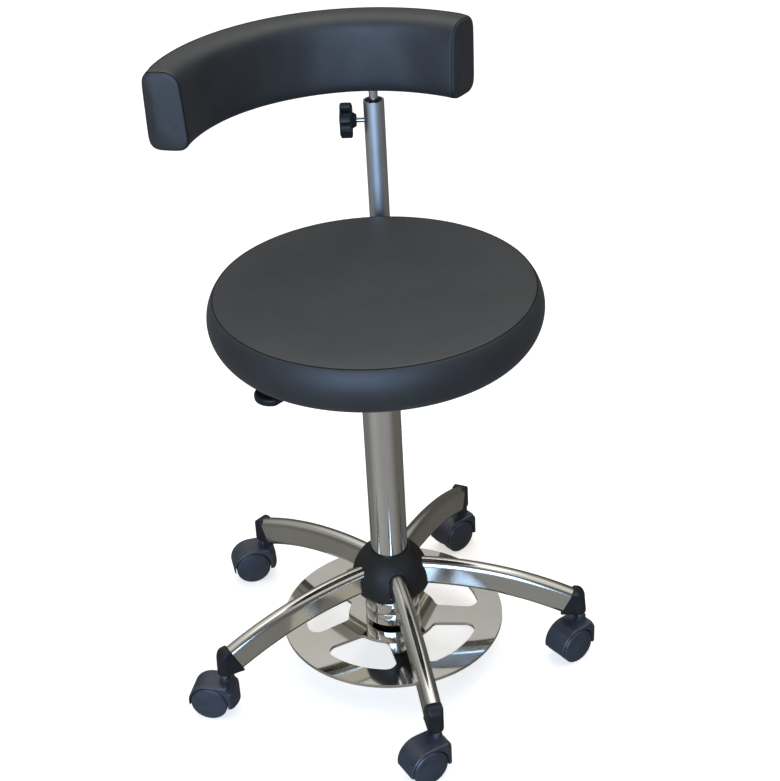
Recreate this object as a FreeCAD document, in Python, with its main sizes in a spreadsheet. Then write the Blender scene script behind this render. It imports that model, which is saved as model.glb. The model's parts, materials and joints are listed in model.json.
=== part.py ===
import FreeCAD, Part
import math
import os
import Sketcher
from FreeCAD import Placement, Rotation, Vector

# Medical stool on five castors with a foot ring, a gas column, a round seat and a curved back pad.
# Millimetres. The floor is z = 0, the column axis is the Z axis, the back post stands on the +Y side.

SIZES = {
    # castors
    "wheel_radius": 25,
    "wheel_face_radius": 23.4,
    "wheel_width": 13,
    "wheel_dome": 3.5,
    "wheel_face_rise": 0.5,
    "wheel_face_flat": 4,
    "wheel_rim": 4,
    "wheel_recess": 6,
    "wheel_boss_radius": 6,
    "castor_web": 13,
    "wheel_side_gap": 0.5,
    "wheel_hood_gap": 1.6,
    "hood_wall": 2.2,
    "hood_width": 38,
    "hood_nose": 37.5,
    "hood_nose_bow": 7.5,
    "hood_nose_slope": 1.5,
    "hood_top_reach": 27,
    "hood_nose_shoulder": 17,
    "hood_nose_drop": 6,
    "hood_boss_radius": 8,
    "hood_boss_height": 5,
    "hood_edge_round": 3,
    "hood_skirt_drop": 4,
    "castor_trail": 20,
    "castor_circle": 260,
    "axle_radius": 2.5,
    "axle_end_gap": 2,
    "stem_radius": 5.5,
    "stem_depth_in_hood": 16,
    "stem_end_gap": 0.3,
    "stem_depth_in_cap": 13,
    "running_gap": 0.05,
    "overcut": 1,
    # base arms, caps and hub
    "arm_width": 22,
    "arm_height": 41,
    "arm_crown": 9,
    "arm_wall": 2,
    "arm_arc_radius": 502,
    "arm_top_level": 151,
    "arm_end": 242,
    "cap_bottom": 66,
    "cap_top": 108,
    "cap_foot": 8.5,
    "cap_foot_inner": 8,
    "cap_shoulder": 6.5,
    "cap_shoulder_level": 87,
    "cap_dome_rise": 5.5,
    "cap_nub": 1,
    "cap_plug_depth": 14,
    "cap_plug_gap": 0.4,
    "hub_flat": 33,
    "hub_bottom": 104.5,
    "hub_height": 44,
    "boot_top": 168,
    "boot_widest": 118,
    "boot_foot_gap": 0.4,
    "boot_foot_reach": 3,
    "boot_radius": 53,
    "boot_rim": 3.5,
    "boot_roof": 9,
    "boot_roof_thickness": 9.5,
    "boot_wall": 2.5,
    "boot_gap": 0.4,
    "boot_slot_gap": 0.5,
    "boot_upper_rise": 7,
    "boot_inner_rise": 5.2,
    "boot_lower_rise": 3.2,
    # column and gas spring
    "column_radius": 25,
    "column_wall": 2,
    "column_top": 444,
    "column_floor": 6,
    "bush_length": 76,
    "bush_flange": 4,
    "pressure_tube_radius": 14,
    "pressure_tube_wall": 1.5,
    "pressure_tube_bottom": 122,
    "pressure_tube_top": 486,
    "pressure_tube_plug": 18,
    "rod_radius": 5,
    "rod_end_drop": 6,
    "piston_level": 376,
    "piston_height": 12,
    "pin_radius": 2,
    "pin_length": 150,
    "pin_bore_over": 8,
    "pin_drop": 3,
    # foot ring and its housing
    "ring_radius": 152.6,
    "ring_window_outer": 121,
    "ring_hub_radius": 62,
    "ring_spoke_outer": 34,
    "ring_spoke_inner": 39,
    "ring_corner_outer": 14,
    "ring_corner_inner": 9,
    "ring_top": 53.5,
    "ring_plate": 5,
    "housing_radius": 38,
    "housing_cavity": 29,
    "housing_bottom": 78.6,
    "housing_rim_top": 100,
    "housing_roof": 8,
    "housing_bore": 10,
    "retainer_bottom": 59.5,
    "retainer_lip": 5,
    "retainer_bore": 20,
    "retainer_groove": 0.6,
    "retainer_groove_depth": 2.4,
    "fulcrum_radius": 24,
    "fulcrum_washer": 2,
    "fulcrum_edge_gap": 0.3,
    "spindle_flange": 6,
    "spindle_radius": 12,
    "spindle_nose": 6,
    "spindle_nose_slope": 1.5,
    "spindle_nose_flat": 2,
    "spindle_shoulder": 17,
    "spindle_thread": 8,
    "spindle_thread_over": 10,
    "foot_nut_height": 7,
    "foot_nut_across": 24,
    "pin_contact_gap": 0.05,
    # seat
    "seat_radius": 210,
    "seat_bottom": 506.5,
    "seat_bottom_inset": 12.5,
    "cushion_height": 65,
    "seat_seam_inset": 4.6,
    "seat_seam_drop": 4,
    "seat_flat_radius": 70,
    "seat_shoulder": 8,
    "seat_shoulder_height": 2.2,
    "seat_shoulder_rise": 1.6,
    "seat_crown_rise": 0.5,
    "board_inset": 9.5,
    "board_thickness": 12,
    "socket_radius": 21,
    "socket_bottom": 454,
    "flange_radius": 80,
    "flange_thickness": 5,
    "seat_screw_circle": 62,
    "seat_screw_radius": 3,
    "seat_screw_head": 5.5,
    "seat_screw_head_height": 4,
    "seat_screw_bite": 9,
    # swing bracket, lock lever and post
    "collar_radius": 34,
    "collar_height": 24,
    "clip_radius": 27,
    "clip_height": 3.5,
    "clip_gap": 0.3,
    "bar_width": 36,
    "bar_thickness": 8,
    "bar_level": 470,
    "ear_width": 22,
    "lever_pivot": 46,
    "lever_angle": -140,
    "lever_width": 14,
    "lever_thickness": 4,
    "lever_length": 150,
    "lever_pin_radius": 3,
    "lever_pin_head": 5.5,
    "lever_pin_head_height": 2,
    "grip_start": 118,
    "grip_end": 193,
    "grip_width": 40,
    "grip_thickness": 11,
    "grip_tip_rise": 14,
    "grip_round": 4,
    "post_seat_gap": 18,
    "post_radius": 14,
    "post_wall": 2,
    "post_top": 719,
    "post_bush_height": 20,
    "post_bush_recess": 2,
    "pad_rod_radius": 6,
    "pad_rod_bottom": 556,
    "pad_rod_foot": 10,
    "pad_rod_foot_gap": 0.1,
    "knob_level": 691,
    "knob_radius": 23.7,
    "knob_thickness": 16,
    "knob_disc_step": 5.7,
    "knob_lobes": 6,
    "knob_scallop": 8,
    "knob_hub_small": 8,
    "knob_hub_large": 12,
    "knob_hub_length": 7,
    "knob_standoff": 10,
    "knob_edge_round": 2.5,
    "stud_radius": 3.2,
    "stud_tip_gap": 0.3,
    # back pad
    "pad_arc_radius": 232.5,
    "pad_outer_depth": 26.5,
    "pad_inner_depth": 28,
    "pad_top_taper": 5.5,
    "pad_bottom": 734.5,
    "pad_height": 105,
    "pad_crown": 2,
    "pad_round": 10,
    "pad_turn_angle": -3.6,
    "pad_right_angle": 31.5,
    "pad_left_angle": 83.5,
    "core_thickness": 12,
    "core_height": 78,
    "core_end_inset": 7,
    "core_gap": 0.3,
    "pad_socket_radius": 12,
    "pad_socket_height": 46,
    "pad_socket_depth": 38,
}

ARM_COUNT = 5
ARM_START = -4.8
CASTOR_TURNS = (219, 212, 170, 195, 221)
SEAT_SCREWS = 4
SEAT_SCREW_START = 45
NUT_SIDES = 6
FLAT_EDGE = 0.01

doc = FreeCAD.newDocument("medical_stool")
sheet = doc.addObject("Spreadsheet::Sheet", "Sizes")
pieces = []


class Size:
    """A number together with the spreadsheet expression that gives it."""

    def __init__(self, value, text):
        self.value = float(value)
        self.text = text

    def __add__(self, other):
        other = size(other)
        return Size(self.value + other.value, f"({self.text} + {other.text})")

    def __radd__(self, other):
        return size(other) + self

    def __sub__(self, other):
        other = size(other)
        return Size(self.value - other.value, f"({self.text} - {other.text})")

    def __rsub__(self, other):
        return size(other) - self

    def __mul__(self, other):
        other = size(other)
        return Size(self.value * other.value, f"({self.text} * {other.text})")

    def __rmul__(self, other):
        return size(other) * self

    def __truediv__(self, other):
        other = size(other)
        return Size(self.value / other.value, f"({self.text} / {other.text})")

    def __neg__(self):
        return Size(-self.value, f"(0 - {self.text})")


def size(number):
    """A plain number as a Size."""
    if isinstance(number, Size):
        return number
    return Size(number, f"({number})")


def cosine(degrees):
    degrees = size(degrees)
    return Size(math.cos(math.radians(degrees.value)), f"cos({degrees.text} * 1 deg)")


def sine(degrees):
    degrees = size(degrees)
    return Size(math.sin(math.radians(degrees.value)), f"sin({degrees.text} * 1 deg)")


def angle_of_sine(ratio):
    """The angle in degrees with this sine."""
    return Size(math.degrees(math.asin(ratio.value)), f"(asin({ratio.text}) / 1 deg)")


def root(number):
    return Size(math.sqrt(number.value), f"sqrt({number.text})")


class Sheet:
    """The driving sizes as attributes."""


def fill_sheet():
    values = Sheet()
    for row, (name, number) in enumerate(SIZES.items(), start=1):
        sheet.set(f"A{row}", name)
        sheet.set(f"B{row}", str(number))
        sheet.setAlias(f"B{row}", name)
        setattr(values, name, Size(number, f"Sizes.{name}"))
    doc.recompute()
    return values


S = fill_sheet()


# Building helpers


def at(x=0, y=0, z=0, turn=0):
    """A placement at a point, turned about the vertical by degrees."""
    point = Vector(size(x).value, size(y).value, size(z).value)
    return Placement(point, Rotation(Vector(0, 0, 1), size(turn).value))


def lying(x, y, z, axis):
    """A placement whose Z axis points along the given direction."""
    point = Vector(size(x).value, size(y).value, size(z).value)
    return Placement(point, Rotation(Vector(0, 0, 1), axis))


def new_body(label):
    body = doc.addObject("PartDesign::Body", label)
    body.Label = label
    return body


def sketch_on(body, role):
    sketch = body.newObject("Sketcher::SketchObject", "Outline")
    planes = [plane for plane in body.Origin.OriginFeatures if plane.Role == role]
    sketch.AttachmentSupport = [(planes[0], "")]
    sketch.MapMode = "FlatFace"
    return sketch


def arc_between(start, end, rise):
    """An arc from start to end with this rise to the right of the way, and the order of its ends."""
    along = end - start
    half = along.Length / 2
    radius = (half * half + rise * rise) / (2 * abs(rise))
    right = Vector(along.y, -along.x, 0).normalize()
    side = 1 if rise > 0 else -1
    centre = (start + end) * 0.5 + right * (rise - side * radius)
    circle = Part.Circle(centre, Vector(0, 0, 1), radius)
    start_angle = math.atan2(start.y - centre.y, start.x - centre.x)
    end_angle = math.atan2(end.y - centre.y, end.x - centre.x)
    if side > 0:
        return Part.ArcOfCircle(circle, start_angle, end_angle), (1, 2)
    return Part.ArcOfCircle(circle, end_angle, start_angle), (2, 1)


def add_outline(sketch, corners):
    """A closed outline through corners (x, y) or (x, y, rise of the arc to the next corner)."""
    first = sketch.GeometryCount
    count = len(corners)
    points = [Vector(size(corner[0]).value, size(corner[1]).value, 0) for corner in corners]
    ends = []
    for index, corner in enumerate(corners):
        start = points[index]
        end = points[(index + 1) % count]
        if len(corner) == 3:
            arc, order = arc_between(start, end, size(corner[2]).value)
            sketch.addGeometry(arc)
            ends.append(order)
        else:
            sketch.addGeometry(Part.LineSegment(start, end))
            ends.append((1, 2))
    for index in range(count):
        after = (index + 1) % count
        sketch.addConstraint(
            Sketcher.Constraint("Coincident", first + index, ends[index][1], first + after, ends[after][0])
        )
    for index, corner in enumerate(corners):
        pin_corner(sketch, first + index, ends[index][0], "DistanceX", size(corner[0]))
        pin_corner(sketch, first + index, ends[index][0], "DistanceY", size(corner[1]))
        if len(corner) == 3:
            pin_radius(sketch, first + index, corner, corners[(index + 1) % count])


def pin_corner(sketch, geometry, end, kind, length):
    number = sketch.addConstraint(Sketcher.Constraint(kind, -1, 1, geometry, end, length.value))
    sketch.setExpression(f"Constraints[{number}]", length.text)


def pin_radius(sketch, geometry, start, end):
    rise = size(start[2])
    if rise.value < 0:
        rise = -rise
    across = size(end[0]) - start[0]
    upward = size(end[1]) - start[1]
    radius = (across * across + upward * upward) / (rise * 8) + rise / 2
    number = sketch.addConstraint(Sketcher.Constraint("Radius", geometry, radius.value))
    sketch.setExpression(f"Constraints[{number}]", radius.text)


def turned(label, corners, place=None, angle=360):
    """A body turned about its own Z axis from an outline of (radius, height) corners."""
    body = new_body(label)
    sketch = sketch_on(body, "XZ_Plane")
    add_outline(sketch, corners)
    revolution = body.newObject("PartDesign::Revolution", "Turned")
    revolution.Profile = sketch
    revolution.ReferenceAxis = (sketch, ["V_Axis"])
    revolution.setExpression("Angle", size(angle).text)
    sketch.Visibility = False
    body.Placement = place or at()
    return body


def plate(label, outlines, thickness, place=None):
    """A flat plate of the given thickness above its own XY plane."""
    body = new_body(label)
    sketch = sketch_on(body, "XY_Plane")
    for corners in outlines:
        add_outline(sketch, corners)
    pad = body.newObject("PartDesign::Pad", "Plate")
    pad.Profile = sketch
    pad.setExpression("Length", size(thickness).text)
    sketch.Visibility = False
    body.Placement = place or at()
    return body


def side_profile(label, corners, width, place=None):
    """A body drawn in its XZ plane and spread evenly to both sides."""
    body = new_body(label)
    sketch = sketch_on(body, "XZ_Plane")
    add_outline(sketch, corners)
    pad = body.newObject("PartDesign::Pad", "Profile")
    pad.Profile = sketch
    pad.SideType = "Symmetric"
    pad.setExpression("Length", size(width).text)
    sketch.Visibility = False
    body.Placement = place or at()
    return body


def cylinder(radius, height, place):
    item = doc.addObject("Part::Cylinder", "Cylinder")
    item.setExpression("Radius", size(radius).text)
    item.setExpression("Height", size(height).text)
    item.Placement = place
    return item


def box(length, width, height, place):
    """A block standing on its placement, centred in X and Y."""
    item = doc.addObject("Part::Box", "Block")
    item.setExpression("Length", size(length).text)
    item.setExpression("Width", size(width).text)
    item.setExpression("Height", size(height).text)
    corner = Placement(Vector(-size(length).value / 2, -size(width).value / 2, 0), Rotation())
    item.Placement = place.multiply(corner)
    return item


def joined(label, items):
    item = doc.addObject("Part::MultiFuse", label)
    item.Label = label
    item.Shapes = items
    item.Refine = True
    return item


def cut(label, base, tools):
    item = doc.addObject("Part::Cut", label)
    item.Label = label
    item.Base = base
    item.Tool = tools[0] if len(tools) == 1 else joined(label + "_tool", tools)
    item.Refine = True
    return item


def rounded(label, base, choose):
    """The base with the edges that choose gives a radius for rounded off."""
    doc.recompute()
    edges = []
    for number, edge in enumerate(base.Shape.Edges, start=1):
        radius = choose(edge)
        if radius:
            edges.append((number, radius, radius))
    item = doc.addObject("Part::Fillet", label)
    item.Label = label
    item.Base = base
    item.Edges = edges
    return item


def keep(item, label):
    """Name a finished sub-part and put it on the list that is written."""
    item.Label = label
    pieces.append(item)
    return item


def around(radius, degrees):
    """The point at this radius and turn about the column."""
    radius = size(radius).value
    turn = math.radians(size(degrees).value)
    return Vector(radius * math.cos(turn), radius * math.sin(turn), 0)


# Castors: hood, axle and two wheels on a swivel stem

hood_inner = S.wheel_radius + S.wheel_hood_gap
hood_outer = hood_inner + S.hood_wall
wheel_inner_face = S.castor_web / 2 + S.wheel_side_gap
wheel_outer_face = wheel_inner_face + S.wheel_width


def build_wheel(label, place):
    """A wheel turned about its own Z axis, its inner side at z = 0 and its domed face outward."""
    recess_wall = S.wheel_radius - S.wheel_rim
    bore = S.axle_radius + S.running_gap
    bore_depth = S.wheel_width - S.axle_end_gap
    edge = S.wheel_radius - S.wheel_face_radius
    wheel = turned(
        label,
        [
            (bore, 0),
            (S.wheel_boss_radius, 0),
            (S.wheel_boss_radius, S.wheel_recess),
            (recess_wall, S.wheel_recess),
            (recess_wall, 0),
            (S.wheel_radius - edge / 2, 0),
            (S.wheel_radius, edge / 2),
            (S.wheel_radius, S.wheel_width - edge),
            (S.wheel_face_radius, S.wheel_width, S.wheel_face_rise),
            (S.wheel_face_flat, S.wheel_width + S.wheel_dome),
            (0, S.wheel_width + S.wheel_dome),
            (0, bore_depth),
            (bore, bore_depth),
        ],
        place,
    )
    return keep(wheel, label)


def build_hood(label, place):
    """The hood, drawn with the axle at its origin and the stem on its -X side."""
    skirt = -S.hood_skirt_drop
    tail = root(hood_outer * hood_outer - S.hood_skirt_drop * S.hood_skirt_drop)
    nose = S.hood_nose
    quarter_chord = root(tail * tail + (hood_outer - skirt) * (hood_outer - skirt))
    tail_rise = hood_outer - root(hood_outer * hood_outer - quarter_chord * quarter_chord / 4)
    block = side_profile(
        label + "_block",
        [
            (tail, skirt, tail_rise),
            (0, hood_outer),
            (-S.hood_top_reach, hood_outer, -S.hood_edge_round),
            (-(nose - S.hood_nose_slope), S.hood_nose_shoulder),
            (-nose, skirt),
            (-(nose - S.hood_skirt_drop), -S.hood_nose_drop),
        ],
        S.hood_width,
    )

    def top_edge(edge):
        middle = edge.BoundBox.Center
        flat = edge.BoundBox.YLength < FLAT_EDGE
        outside = abs(abs(middle.y) - S.hood_width.value / 2) < FLAT_EDGE
        return S.hood_edge_round.value if flat and outside and middle.z > 0 else 0

    soft = rounded(label + "_soft", block, top_edge)
    half_width = S.hood_width / 2
    corner = S.hood_nose_bow - nose
    plan = plate(
        label + "_plan",
        [
            [
                (corner, -half_width),
                (hood_outer, -half_width),
                (hood_outer, half_width),
                (corner, half_width, S.hood_nose_bow),
            ]
        ],
        hood_outer + S.hood_nose_drop,
        at(0, 0, -S.hood_nose_drop),
    )
    bowed = doc.addObject("Part::MultiCommon", label + "_bowed")
    bowed.Shapes = [soft, plan]
    boss_foot = at(-S.castor_trail, 0, hood_outer - S.overcut)
    boss = cylinder(S.hood_boss_radius, S.hood_boss_height + S.overcut, boss_foot)
    solid = joined(label + "_solid", [bowed, boss])
    pocket_depth = (S.hood_width - S.castor_web) / 2 + S.overcut
    far_side = Rotation(Vector(1, 0, 0), -90)
    near_side = Rotation(Vector(1, 0, 0), 90)
    web = S.castor_web.value / 2
    pockets = [
        cylinder(hood_inner, pocket_depth, Placement(Vector(0, web, 0), far_side)),
        cylinder(hood_inner, pocket_depth, Placement(Vector(0, -web, 0), near_side)),
    ]
    axle_hole = cylinder(
        S.axle_radius,
        S.castor_web + S.overcut * 2,
        Placement(Vector(0, -web - S.overcut.value, 0), far_side),
    )
    stem_floor = hood_outer - S.stem_depth_in_hood
    stem_hole = cylinder(
        S.stem_radius + S.running_gap,
        S.stem_depth_in_hood + S.hood_boss_height + S.overcut,
        at(-S.castor_trail, 0, stem_floor),
    )
    hood = cut(label, solid, pockets + [axle_hole, stem_hole])
    hood.Placement = place
    return keep(hood, label)


def build_castor(number, arm_turn, castor_turn):
    stem_point = around(S.castor_circle, arm_turn)
    trail = around(S.castor_trail, castor_turn)
    axle = stem_point + trail + Vector(0, 0, S.wheel_radius.value)
    turn = Rotation(Vector(0, 0, 1), castor_turn)
    build_hood(f"castor_hood_{number}", Placement(axle, turn))
    left_axis = turn.multVec(Vector(0, 1, 0))
    half_axle = wheel_inner_face + S.wheel_width - S.axle_end_gap * 2
    pin = cylinder(S.axle_radius, half_axle * 2, lying(0, 0, 0, left_axis))
    pin.Placement.Base = axle - left_axis * half_axle.value
    keep(pin, f"castor_axle_{number}")
    for name, side in (("left", 1), ("right", -1)):
        axis = left_axis * side
        face = axle + axis * wheel_inner_face.value
        build_wheel(f"castor_wheel_{number}_{name}", lying(face.x, face.y, face.z, axis))


def build_stems():
    """The five castor stems, pressed into the caps."""
    hood_top = S.wheel_radius + hood_outer
    bottom = hood_top - S.stem_depth_in_hood + S.stem_end_gap
    length = S.cap_bottom + S.stem_depth_in_cap - bottom
    stems = []
    for index in range(ARM_COUNT):
        point = around(S.castor_circle, ARM_START - index * 360 / ARM_COUNT)
        stems.append(cylinder(S.stem_radius, length, at(point.x, point.y, bottom)))
    group = doc.addObject("Part::Compound", "castor_stems")
    group.Links = stems
    keep(group, "castor_stems")


# Base arms: arched flat-oval tubes on a five-sided hub, with end caps

arm_axis_level = S.arm_top_level - S.arm_height / 2
arm_arc_centre = arm_axis_level - S.arm_arc_radius
arm_end_sine = (S.arm_end - S.hub_flat) / S.arm_arc_radius
arm_inner_crown = S.arm_crown - S.arm_wall / 2


def oval(width, height, crown, level):
    """An upright flat oval centred at this level."""
    half = width / 2
    straight = height / 2 - crown
    return [
        (-half, level - straight, crown),
        (half, level - straight),
        (half, level + straight, crown),
        (-half, level + straight),
    ]


def build_arm(number, turn):
    label = f"base_arm_{number}"
    body = new_body(label)
    sketch = sketch_on(body, "YZ_Plane")
    add_outline(sketch, oval(S.arm_width, S.arm_height, S.arm_crown, S.arm_arc_radius))
    inner_width = S.arm_width - S.arm_wall * 2
    inner_height = S.arm_height - S.arm_wall * 2
    add_outline(sketch, oval(inner_width, inner_height, arm_inner_crown, S.arm_arc_radius))
    revolution = body.newObject("PartDesign::Revolution", "Arch")
    revolution.Profile = sketch
    revolution.ReferenceAxis = (sketch, ["H_Axis"])
    revolution.setExpression("Angle", angle_of_sine(arm_end_sine).text)
    sketch.Visibility = False
    root_point = around(S.hub_flat, turn)
    body.Placement = at(root_point.x, root_point.y, arm_arc_centre, turn)
    keep(body, label)


def build_cap(number, turn):
    """The end cap: a domed wedge that closes the arm and holds the stem, and a plug inside the tube."""
    label = f"arm_cap_{number}"
    slope_sine = arm_end_sine
    slope_cosine = root(1 - slope_sine * slope_sine)
    end_level = arm_arc_centre + S.arm_arc_radius * slope_cosine
    half = S.arm_height / 2
    top_x = S.arm_end + half * slope_sine
    top_z = end_level + half * slope_cosine
    low_x = S.arm_end - (half + S.cap_nub) * slope_sine
    low_z = end_level - (half + S.cap_nub) * slope_cosine
    side = side_profile(
        label + "_side",
        [
            (low_x, low_z),
            (S.castor_circle - S.cap_foot_inner, S.cap_bottom),
            (S.castor_circle + S.cap_foot, S.cap_bottom),
            (S.castor_circle + S.cap_shoulder, S.cap_shoulder_level, S.cap_dome_rise),
            (top_x, top_z),
        ],
        S.arm_width,
    )
    half_width = S.arm_width / 2
    tip = S.castor_circle + S.cap_foot
    quarter_rise = half_width * (1 - cosine(45))
    above = plate(
        label + "_above",
        [
            [
                (low_x, -half_width),
                (tip - half_width, -half_width, quarter_rise),
                (tip, 0, quarter_rise),
                (tip - half_width, half_width),
                (low_x, half_width),
            ]
        ],
        S.cap_top,
    )
    along = new_body(label + "_along")
    sketch = sketch_on(along, "YZ_Plane")
    crown_level = S.cap_top - S.arm_crown
    arch = [
        (-half_width, 0),
        (half_width, 0),
        (half_width, crown_level, S.arm_crown),
        (-half_width, crown_level),
    ]
    add_outline(sketch, arch)
    pad = along.newObject("PartDesign::Pad", "Arch")
    pad.Profile = sketch
    pad.setExpression("Length", tip.text)
    sketch.Visibility = False
    domed = doc.addObject("Part::MultiCommon", label + "_domed")
    domed.Shapes = [side, above, along]
    plug_width = S.arm_width - S.arm_wall * 2 - S.cap_plug_gap * 2
    plug_height = S.arm_height - S.arm_wall * 2 - arm_inner_crown * 2 - S.cap_plug_gap * 2
    inward = Vector(-slope_cosine.value, 0, slope_sine.value)
    plug_turn = Rotation(Vector(0, 0, 0), Vector(0, 1, 0), inward, "ZYX")
    plug_place = Placement(Vector(S.arm_end.value, 0, end_level.value), plug_turn)
    plug = box(plug_height, plug_width, S.cap_plug_depth, plug_place)
    solid = joined(label + "_solid", [domed, plug])
    stem_hole = cylinder(S.stem_radius, S.stem_depth_in_cap, at(S.castor_circle, 0, S.cap_bottom))
    cap = cut(label, solid, [stem_hole])
    cap.Placement = at(0, 0, 0, turn)
    keep(cap, label)


def build_hub():
    half_side = 180 / ARM_COUNT
    corner_radius = S.hub_flat / cosine(half_side)
    corners = []
    for index in range(ARM_COUNT):
        turn = half_side + index * 360 / ARM_COUNT
        corners.append((corner_radius * cosine(turn), corner_radius * sine(turn)))
    block = plate("base_hub_block", [corners], S.hub_height, at(0, 0, S.hub_bottom, ARM_START))
    bore = cylinder(S.column_radius, S.hub_height + S.overcut * 2, at(0, 0, S.hub_bottom - S.overcut))
    keep(cut("base_hub", block, [bore]), "base_hub")


def build_boot():
    """The soft cover over the hub, with an opening for each arm."""
    neck = S.column_radius + S.boot_gap
    rim = S.column_radius + S.boot_rim
    roof = S.column_radius + S.boot_roof
    roof_bottom = S.boot_top - S.boot_roof_thickness
    wall = S.boot_wall
    foot = S.housing_radius + S.boot_foot_reach
    bottom = S.housing_rim_top + S.boot_foot_gap
    shell = turned(
        "hub_boot_shell",
        [
            (foot, bottom, S.boot_lower_rise),
            (S.boot_radius, S.boot_widest, S.boot_upper_rise),
            (rim, S.boot_top),
            (neck, S.boot_top),
            (neck, roof_bottom),
            (roof, roof_bottom, -S.boot_inner_rise),
            (S.boot_radius - wall, S.boot_widest, -S.boot_lower_rise),
            (foot - wall, bottom),
        ],
    )
    opening = S.boot_slot_gap * 2
    slots = []
    for index in range(ARM_COUNT):
        turn = ARM_START - index * 360 / ARM_COUNT
        slot = new_body("hub_boot_slot")
        sketch = sketch_on(slot, "YZ_Plane")
        slot_width = S.arm_width + opening
        slot_height = S.arm_height + opening
        add_outline(sketch, oval(slot_width, slot_height, S.arm_crown, arm_axis_level))
        pad = slot.newObject("PartDesign::Pad", "Slot")
        pad.Profile = sketch
        pad.setExpression("Length", (S.boot_radius + S.boot_wall).text)
        slot.Placement = at(0, 0, 0, turn)
        slots.append(slot)
    keep(cut("hub_boot", shell, slots), "hub_boot")


# Column and gas spring


def build_column():
    bottom = S.hub_bottom
    floor_top = bottom + S.column_floor
    inner = S.column_radius - S.column_wall
    rod_hole = S.rod_radius + S.running_gap
    keep(
        turned(
            "stand_tube",
            [
                (rod_hole, bottom),
                (S.column_radius, bottom),
                (S.column_radius, S.column_top),
                (inner, S.column_top),
                (inner, floor_top),
                (rod_hole, floor_top),
            ],
        ),
        "stand_tube",
    )
    sliding = S.pressure_tube_radius + S.running_gap
    keep(
        turned(
            "guide_bush",
            [
                (sliding, S.column_top - S.bush_length),
                (inner, S.column_top - S.bush_length),
                (inner, S.column_top),
                (S.column_radius, S.column_top),
                (S.column_radius, S.column_top + S.bush_flange),
                (sliding, S.column_top + S.bush_flange),
            ],
        ),
        "guide_bush",
    )
    bore = S.pressure_tube_radius - S.pressure_tube_wall
    plug_top = S.pressure_tube_bottom + S.pressure_tube_plug
    roof = S.pressure_tube_top - S.pressure_tube_plug
    keep(
        turned(
            "pressure_tube",
            [
                (rod_hole, S.pressure_tube_bottom),
                (S.pressure_tube_radius, S.pressure_tube_bottom),
                (S.pressure_tube_radius, S.pressure_tube_top),
                (0, S.pressure_tube_top),
                (0, roof),
                (bore, roof),
                (bore, plug_top),
                (rod_hole, plug_top),
            ],
        ),
        "pressure_tube",
    )
    rod_bottom = bottom - S.rod_end_drop
    pin_bore = S.pin_radius + S.running_gap
    pin_bore_top = pin_bottom + S.pin_length + S.pin_bore_over
    keep(
        turned(
            "piston_rod",
            [
                (pin_bore, rod_bottom),
                (S.rod_radius, rod_bottom),
                (S.rod_radius, S.piston_level),
                (bore - S.running_gap, S.piston_level),
                (bore - S.running_gap, S.piston_level + S.piston_height),
                (0, S.piston_level + S.piston_height),
                (0, pin_bore_top),
                (pin_bore, pin_bore_top),
            ],
        ),
        "piston_rod",
    )
    keep(cylinder(S.pin_radius, S.pin_length, at(0, 0, pin_bottom)), "release_pin")


# Foot ring: the plate hangs on a spindle whose flange is held in a housing under the hub

flange_bottom = S.retainer_bottom + S.retainer_lip + S.fulcrum_washer
flange_top = flange_bottom + S.spindle_flange
pin_bottom = S.housing_rim_top - S.housing_roof - S.pin_drop


def build_foot_ring():
    keep(
        turned(
            "pedal_housing",
            [
                (S.housing_bore, S.housing_rim_top - S.housing_roof),
                (S.housing_cavity, S.housing_rim_top - S.housing_roof),
                (S.housing_cavity, S.housing_bottom),
                (S.housing_radius, S.housing_bottom),
                (S.housing_radius, S.housing_rim_top),
                (S.hub_flat, S.housing_rim_top),
                (S.hub_flat, S.hub_bottom),
                (S.housing_bore, S.hub_bottom),
            ],
        ),
        "pedal_housing",
    )
    groove = S.retainer_groove
    lip_top = S.retainer_bottom + S.retainer_lip
    keep(
        turned(
            "pedal_retainer",
            [
                (S.retainer_bore, S.retainer_bottom),
                (S.housing_radius, S.retainer_bottom),
                (S.housing_radius, S.housing_bottom - groove),
                (S.housing_radius - S.retainer_groove_depth, S.housing_bottom - groove),
                (S.housing_radius - S.retainer_groove_depth, S.housing_bottom),
                (S.housing_cavity, S.housing_bottom),
                (S.housing_cavity, lip_top),
                (S.retainer_bore, lip_top),
            ],
        ),
        "pedal_retainer",
    )
    washer_outer = S.housing_cavity - S.fulcrum_edge_gap
    keep(
        turned(
            "fulcrum_washer",
            [
                (S.retainer_bore, lip_top),
                (washer_outer, lip_top),
                (washer_outer, flange_bottom),
                (S.retainer_bore, flange_bottom),
            ],
        ),
        "fulcrum_washer",
    )
    nose_top = pin_bottom - S.pin_contact_gap
    thread_end = S.ring_top - S.ring_plate - S.spindle_thread_over
    shoulder_height = S.spindle_shoulder - S.spindle_radius
    keep(
        turned(
            "foot_spindle",
            [
                (0, thread_end),
                (S.spindle_thread, thread_end),
                (S.spindle_thread, S.ring_top),
                (S.spindle_shoulder, S.ring_top),
                (S.spindle_radius, S.ring_top + shoulder_height),
                (S.spindle_radius, flange_bottom),
                (S.fulcrum_radius, flange_bottom),
                (S.fulcrum_radius, flange_top),
                (S.spindle_nose, flange_top),
                (S.spindle_nose, nose_top - S.spindle_nose_slope),
                (S.spindle_nose_flat, nose_top),
                (0, nose_top),
            ],
        ),
        "foot_spindle",
    )
    build_ring_plate()
    build_foot_nut()


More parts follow.
